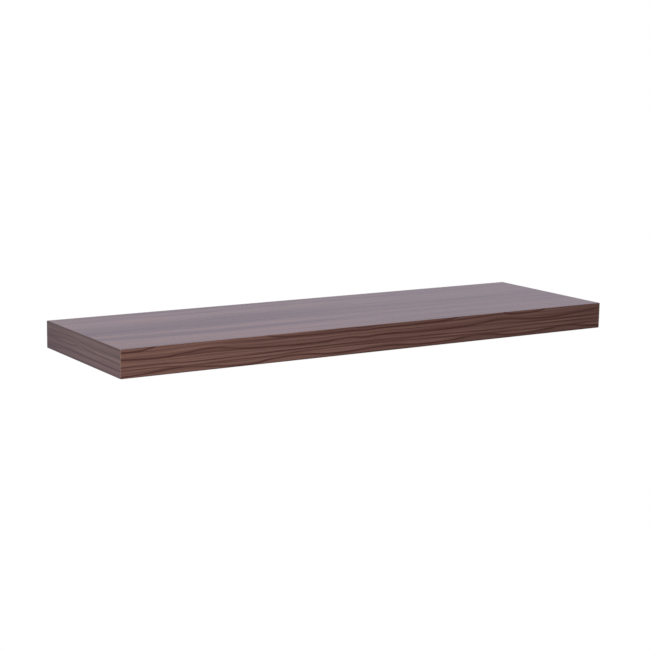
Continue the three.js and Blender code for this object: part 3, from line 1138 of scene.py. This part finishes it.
# %% The back rail and its bores
back_low, back_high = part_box("back_rail")
sides = ["left", "centre", "right"]
rods = ["rod_" + side for side in sides]
rod_x = [middle_x(rod) for rod in rods]
rod_low, rod_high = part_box("rod_centre")
rod_radius = (rod_high.z - rod_low.z) / 2
rod_clearance = 0.0005
bore_radius = rod_radius + rod_clearance
bore_lip = 0.0006

back_rail = drilled_plate(
    (back_low.x, back_low.z), (back_high.x, back_high.z), back_high.y - back_low.y,
    [(x, 0.0, bore_radius, 0.0) for x in rod_x],
)
lips = [e for e in sharp_edges(back_rail) if e.calc_length() < bore_radius / 2]
rounded(back_rail, lips, bore_lip, arris_pair)
stand_up(back_rail, back_high.y)
add_piece("back_rail_bar", back_rail, chipboard, "shelf_board", ["back_rail"])
print("back rail with", len(rod_x), "bores of radius", round(bore_radius * 1000, 2), "mm")

# %% The bottom skin
skin_low, skin_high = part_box("bottom_panel")
locks = ["lock_screw_" + side for side in sides]
lock_x = [middle_x(lock) for lock in locks]
insert_low, insert_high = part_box("lock_insert_centre")
lock_y = (insert_low.y + insert_high.y) / 2
insert_radius = (insert_high.x - insert_low.x) / 2
insert_clearance = 0.0003
insert_hole = insert_radius + insert_clearance

bottom_skin = drilled_plate(
    (skin_low.x, skin_low.y), (skin_high.x, skin_high.y), skin_high.z - skin_low.z,
    [(x, lock_y, insert_hole, 0.0) for x in lock_x],
)
shift_shape(bottom_skin, (0.0, 0.0, skin_low.z))
add_piece("bottom_skin", bottom_skin, walnut_bottom, "shelf_board", ["bottom_panel"])
print("bottom skin with", len(lock_x), "holes of radius", round(insert_hole * 1000, 2), "mm")

# %% [markdown]
# ## Turned pieces
# Rods, beads, plugs and inserts are round, so one outline is spun about an axis. Points on
# the axis close the ends. The spin leaves doubled points at its seam and poles, so those
# are merged first, and then the faces are turned to point outwards.


# %% Spin an outline and place it
def spun(outline, steps=48):
    """(radius, height) points spun once round Z."""
    shape = bmesh.new()
    points = [shape.verts.new((radius, 0.0, height)) for radius, height in outline]
    lines = [shape.edges.new(pair) for pair in zip(points, points[1:])]
    bmesh.ops.spin(
        shape, geom=points + lines, cent=(0.0, 0.0, 0.0), axis=(0.0, 0.0, 1.0),
        angle=math.tau, steps=steps, use_merge=True,
    )
    bmesh.ops.remove_doubles(shape, verts=shape.verts, dist=same_point)
    face_outwards(shape)
    return shape


def along_wall_normal(shape, x, y, sign):
    """Lays a piece that stands on Z along +Y or -Y, with its foot at x and y."""
    turn_shape(shape, -sign * math.pi / 2, "X")
    shift_shape(shape, (x, y, 0.0))


# %% [markdown]
# ## Rods and weld beads
# Each rod is cut from bright bar, chamfered so that it finds its bore, and welded to the
# rail all round. The bead is a small three-sided ring. A weld is laid drop by drop, so the
# ring's outer points are pushed in and out around the rod, one ripple for each drop.

# %% The rods
rod_length = rod_high.y - rod_low.y
rod_chamfer = 0.0015
tip_round = 0.0003
rod_steps = 64
rod_crease = 50.0
rod_outline = [
    (0.0, 0.0),
    (rod_radius, 0.0),
    (rod_radius, rod_length - rod_chamfer - tip_round),
    (rod_radius - tip_round / 2, rod_length - rod_chamfer),
    (rod_radius - rod_chamfer + tip_round / 2, rod_length - tip_round / 2),
    (rod_radius - rod_chamfer - tip_round, rod_length),
    (0.0, rod_length),
]

for rod, x in zip(rods, rod_x):
    bar = spun(rod_outline, rod_steps)
    along_wall_normal(bar, x, rod_high.y, -1)
    add_piece(rod + "_bar", bar, black_coat, "wall_bracket", [rod], rod_crease)
print("rods", round(rod_length * 1000, 1), "mm long")

# %% The weld beads
bead_leg = 0.0021
bead_root = 0.0003
bead_shares = [(0.92, 0.30), (0.58, 0.68), (0.22, 0.95)]
bead_inner = rod_radius - bead_root
bead_crease = 70.0
ripple = 0.00022
drops = 22
steps_in_drop = 6
uneven = 2.2
swell = 6
bead_outline = [
    (bead_inner, -bead_root),
    (rod_radius + bead_leg, -bead_root),
    *[(rod_radius + bead_leg * out, bead_leg * up) for out, up in bead_shares],
    (bead_inner, bead_leg),
    (bead_inner, -bead_root),
]

for side, x in zip(sides, rod_x):
    bead = spun(bead_outline, drops * steps_in_drop)
    for vert in bead.verts:
        if vert.co.xy.length > rod_radius:
            turn = math.atan2(vert.co.y, vert.co.x)
            wave = math.cos(drops * turn + uneven * math.sin(turn))
            lift = 1 + ripple * wave / vert.co.xy.length
            vert.co = Vector((vert.co.x * lift, vert.co.y * lift, vert.co.z * lift**swell))
    along_wall_normal(bead, x, rail_low.y, -1)
    add_piece("weld_bead_" + side, bead, black_coat, "wall_bracket", crease=bead_crease)
print("weld beads of", drops, "drops each")

# %% [markdown]
# ## Threads
# A thread is a triangle on a spin with a push: at each step the spin also moves along, so
# the triangle leaves a helix. The ridge is sunk a little into its core, and its crest dies
# away over one turn at each end, as on a rolled screw.


# %% Wind a ridge
half_foot_share = 0.36
least_crest_share = 0.04


def wind_ridge(shape, root, crest, pitch, start, end, steps=20):
    """Adds a helical ridge between two heights. A crest inside the root makes a nut's thread."""
    half = pitch * half_foot_share
    corners = [(root, start - half), (crest, start), (root, start + half)]
    points = [shape.verts.new((radius, 0.0, height)) for radius, height in corners]
    first = shape.faces.new(points)
    before = set(shape.verts) - set(points)
    count = round((end - start) / pitch * steps)
    bmesh.ops.spin(
        shape, geom=points + list(first.edges) + [first], cent=(0.0, 0.0, 0.0),
        axis=(0.0, 0.0, 1.0), dvec=(0.0, 0.0, pitch / steps),
        angle=count / steps * math.tau, steps=count, use_merge=False,
    )
    for vert in set(shape.verts) - before:
        out = vert.co.xy.length
        if abs(out - crest) < abs(crest - root) / 2:
            ending = min(1.0, (vert.co.z - start) / pitch, (end - vert.co.z) / pitch)
            wanted = root + (crest - root) * max(least_crest_share, ending)
            vert.co.xy = vert.co.xy * (wanted / out)
    face_outwards(shape)


# %% [markdown]
# ## Sockets
# A screw is turned by a shaped socket in a round head. The shape starts as the socket's rim,
# a loop of points at chosen angles. The loop is extruded inward for the socket's walls, and
# outward ring by ring, each new ring pushed to a circle, until it has become the whole screw.


# %% Grow a screw from its socket
dip_share = 0.25


def grow_rings(shape, edges, rings):
    """Extrudes a loop of edges to one circle after another: (radius, height) for each."""
    for radius, height in rings:
        edges = edges_in(bmesh.ops.extrude_edge_only(shape, edges=edges)["geom"])
        for vert in {v for e in edges for v in e.verts}:
            flat = vert.co.xy.normalized() * radius
            vert.co = Vector((flat.x, flat.y, height))
    return edges


def socketed(rim, top, depth, taper, rings):
    """A closed round piece with a socket: rim points are (angle, radius), rings go outward."""
    shape = bmesh.new()
    points = [
        shape.verts.new((radius * math.cos(angle), radius * math.sin(angle), top))
        for angle, radius in rim
    ]
    loop = [shape.edges.new(pair) for pair in zip(points, points[1:] + points[:1])]
    wall = bmesh.ops.extrude_edge_only(shape, edges=loop)["geom"]
    low = verts_in(wall)
    bmesh.ops.scale(shape, vec=(taper, taper, 1.0), verts=low)
    shift_shape(shape, (0.0, 0.0, depth), low)
    bmesh.ops.holes_fill(shape, edges=edges_in(wall), sides=0)
    floor_face = [f for f in shape.faces if len(f.verts) > 4]
    middle = bmesh.ops.poke(shape, faces=floor_face)["verts"]
    shift_shape(shape, (0.0, 0.0, depth * dip_share), middle)
    last = grow_rings(shape, loop, rings[:-1])
    closing = bmesh.ops.holes_fill(shape, edges=last, sides=0)["faces"]
    tip = bmesh.ops.poke(shape, faces=closing)["verts"]
    for vert in tip:
        vert.co = Vector((0.0, 0.0, rings[-1][1]))
    face_outwards(shape)
    return shape


def cross_rim(arm, half_width):
    """The rim of a cross recess: 24 points, six for each arm and the corner beside it."""
    edge = math.atan(half_width / arm)
    tip = math.hypot(arm, half_width)
    corner = math.pi / 4
    between = (edge + corner) / 2
    side = half_width / math.sin(between)
    quarter = [
        (-edge, tip), (0.0, arm), (edge, tip), (between, side),
        (corner, half_width / math.sin(corner)), (math.pi / 2 - between, side),
    ]
    return [(angle + turn * math.pi / 2, radius) for turn in range(4) for angle, radius in quarter]


def hex_rim(across_flats):
    """The rim of a hexagon socket: 24 points, four for each side."""
    rim = []
    for step in range(24):
        angle = math.radians(15 * step)
        from_flat = (angle + math.pi / 6) % (math.pi / 3) - math.pi / 6
        rim.append((angle, across_flats / 2 / math.cos(from_flat)))
    return rim


# %% [markdown]
# ## The wall screws
# Pan-head wood screws, 5 by 60 mm: a domed head with a cross recess, a plain neck, then a
# coarse thread down to a point. The core is thinner than the neck, as the thread stands on
# it, and the last 7 mm are pinched to the tip together with their thread. The crosses point
# different ways, as on screws that were driven by hand.

# %% Four pan-head screws
screw_low, screw_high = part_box("wall_screw_1")
seat_y = rail_low.y
head_radius = (screw_high.x - screw_low.x) / 2
head_height = seat_y - screw_low.y
shank_length = screw_high.y - seat_y
neck_radius = 0.00235
core_radius = 0.00175
thread_radius = 0.0025
thread_pitch = 0.0024
thread_start = 0.018
thread_sink = 0.0001
point_length = 0.007
point_end = 0.0001
least_point_share = 0.05
dome_steps = 7
dome_flat_share = 0.62
dome_rise_share = 0.72
belly_shares = (0.985, 0.06)
head_foot_share = 0.95
cross_arm = 0.0025
cross_half = 0.00058
cross_depth = 0.0019
cross_taper = 0.5
turn_per_metre = 3.0


def pan_screw():
    """One screw on Z: its head below z = 0 and its point up."""
    cone = shank_length - point_length
    rings = []
    for step in range(dome_steps + 1):
        turn = math.pi / 2 * step / dome_steps
        out = dome_flat_share + (1 - dome_flat_share) * math.sin(turn)
        up = 1 - dome_rise_share + dome_rise_share * math.cos(turn)
        rings.append((head_radius * out, -head_height * up))
    rings += [
        (head_radius * belly_shares[0], -head_height * belly_shares[1]),
        (head_radius * head_foot_share, 0.0), (neck_radius, 0.0),
        (neck_radius, thread_start - thread_pitch), (core_radius, thread_start),
        (core_radius, cone), (core_radius, shank_length - point_length / 2),
        (core_radius, shank_length - point_end), (0.0, shank_length),
    ]
    shape = socketed(cross_rim(cross_arm, cross_half), -head_height, cross_depth, cross_taper, rings)
    thread_end = shank_length - thread_pitch / 2
    wind_ridge(shape, core_radius - thread_sink, thread_radius, thread_pitch, thread_start, thread_end)
    for vert in shape.verts:
        if vert.co.z > cone:
            share = max(least_point_share, (shank_length - vert.co.z) / point_length)
            vert.co.xy = vert.co.xy * share
    return shape


for screw, x in zip(screws, screw_x):
    shape = pan_screw()
    turn_shape(shape, turn_per_metre * x, "Z")
    along_wall_normal(shape, x, seat_y, 1)
    add_piece(screw + "_threaded", shape, zinc, "wall_bracket", [screw])
print("screws", round(shank_length * 1000, 1), "mm long under the head")

# %% [markdown]
# ## The wall plugs
# A plug is a nylon tube that spreads as the screw goes in: a plain collar, then two legs
# with barbs. The legs come from one spun outline that is cut twice by a plane, once for each
# side of the slit, and each cut is filled so that the leg stays a closed solid.

# %% Four plugs
plugs = ["wall_plug_" + number for number in numbers]
plug_low, plug_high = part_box("wall_plug_1")
plug_radius = (plug_high.z - plug_low.z) / 2
plug_length = plug_high.y - plug_low.y
plug_bore = 0.0028
collar_length = 0.008
tail_length = 0.008
barb_depth = 0.0004
barb_shares = [(0.12, 0), (0.86, 1), (0.97, 1)]
slit_width = 0.0012
cut_reach = 1e-7
barbs = 4


def plug_leg(side):
    """Half of the barbed part, on one side of the slit."""
    barb_length = (plug_length - collar_length - tail_length) / barbs
    outline = [(plug_bore, collar_length), (plug_radius, collar_length)]
    for number in range(barbs):
        foot = collar_length + number * barb_length
        for along, sunk in barb_shares:
            outline.append((plug_radius - sunk * barb_depth, foot + barb_length * along))
    outline.append((plug_radius - barb_depth, plug_length - barb_depth))
    outline.append((plug_radius - 2 * barb_depth, plug_length))
    outline += [(plug_bore, plug_length), (plug_bore, collar_length)]
    leg = spun(outline)
    cut = bmesh.ops.bisect_plane(
        leg, geom=leg.verts[:] + leg.edges[:] + leg.faces[:], dist=cut_reach,
        plane_co=(side * slit_width / 2, 0.0, 0.0), plane_no=(-side, 0.0, 0.0), clear_outer=True,
    )["geom_cut"]
    bmesh.ops.holes_fill(leg, edges=edges_in(cut), sides=0)
    face_outwards(leg)
    return leg


def joined(shapes):
    """Several bmeshes in one."""
    whole = bmesh.new()
    for shape in shapes:
        data = bpy.data.meshes.new("passing")
        shape.to_mesh(data)
        shape.free()
        whole.from_mesh(data)
        bpy.data.meshes.remove(data)
    return whole


for plug, x in zip(plugs, screw_x):
    collar = spun([
        (plug_bore, collar_length), (plug_bore, barb_depth), (plug_bore + barb_depth, 0.0),
        (plug_radius - barb_depth, 0.0), (plug_radius, barb_depth), (plug_radius, collar_length),
        (plug_bore, collar_length),
    ])
    shape = joined([collar, plug_leg(1), plug_leg(-1)])
    along_wall_normal(shape, x, plug_low.y, 1)
    add_piece(plug + "_split", shape, nylon, "wall_bracket", [plug])
print("plugs", round(plug_length * 1000, 1), "mm long with", barbs, "barbs on a leg")

# %% [markdown]
# ## Inserts and locking screws
# Three brass inserts sit in the underside, and a grub screw in each presses up against its
# rod. The screw has a hexagon socket below and a hollow cup above that bites into the steel.
# Both carry a fine thread of 1 mm pitch, one outside and one inside.

# %% The inserts
insert_length = insert_high.z - insert_low.z
insert_bore = 0.00315
insert_chamfer = 0.0004
insert_thread = 0.0002
fine_sink = 0.00005
fine_pitch = 0.001


def fine_thread(shape, root, crest, length, chamfer):
    """A thread of fine pitch along a piece, between the chamfers at its two ends."""
    inset = chamfer + fine_pitch / 2
    wind_ridge(shape, root, crest, fine_pitch, inset, length - inset)


for side, x in zip(sides, lock_x):
    ring = spun([
        (insert_bore, insert_chamfer), (insert_bore + insert_chamfer, 0.0),
        (insert_radius - insert_chamfer, 0.0), (insert_radius, insert_chamfer),
        (insert_radius, insert_length - insert_chamfer),
        (insert_radius - insert_chamfer, insert_length),
        (insert_bore + insert_chamfer, insert_length),
        (insert_bore, insert_length - insert_chamfer), (insert_bore, insert_chamfer),
    ])
    crest = insert_bore - insert_thread
    fine_thread(ring, insert_bore + fine_sink, crest, insert_length, insert_chamfer)
    shift_shape(ring, (x, lock_y, insert_low.z))
    add_piece("insert_" + side, ring, brass, "shelf_board", ["lock_insert_" + side])
print("inserts", round(insert_length * 1000, 1), "mm long")

# %% The locking screws
lock_low, lock_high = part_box("lock_screw_centre")
lock_length = lock_high.z - lock_low.z
lock_radius = (lock_high.x - lock_low.x) / 2
lock_thread = 0.00045
lock_core = lock_radius - lock_thread
lock_chamfer = 0.0006
hex_width = 0.003
hex_depth = 0.0035
hex_taper = 0.94
cup_rim = 0.00036
cup_depth = 0.001
lock_rings = [
    (lock_radius - lock_chamfer, 0.0), (lock_core, lock_chamfer),
    (lock_core, lock_length - lock_chamfer), (lock_radius - 2 * lock_chamfer, lock_length),
    (lock_radius - 2 * lock_chamfer - cup_rim, lock_length), (0.0, lock_length - cup_depth),
]

for side, lock, x in zip(sides, locks, lock_x):
    shape = socketed(hex_rim(hex_width), 0.0, hex_depth, hex_taper, lock_rings)
    fine_thread(shape, lock_core - fine_sink, lock_radius, lock_length, lock_chamfer)
    shift_shape(shape, (x, lock_y, lock_low.z))
    add_piece(lock + "_threaded", shape, zinc, side + "_lock", [lock])
print("locking screws", round(lock_length * 1000, 1), "mm long")
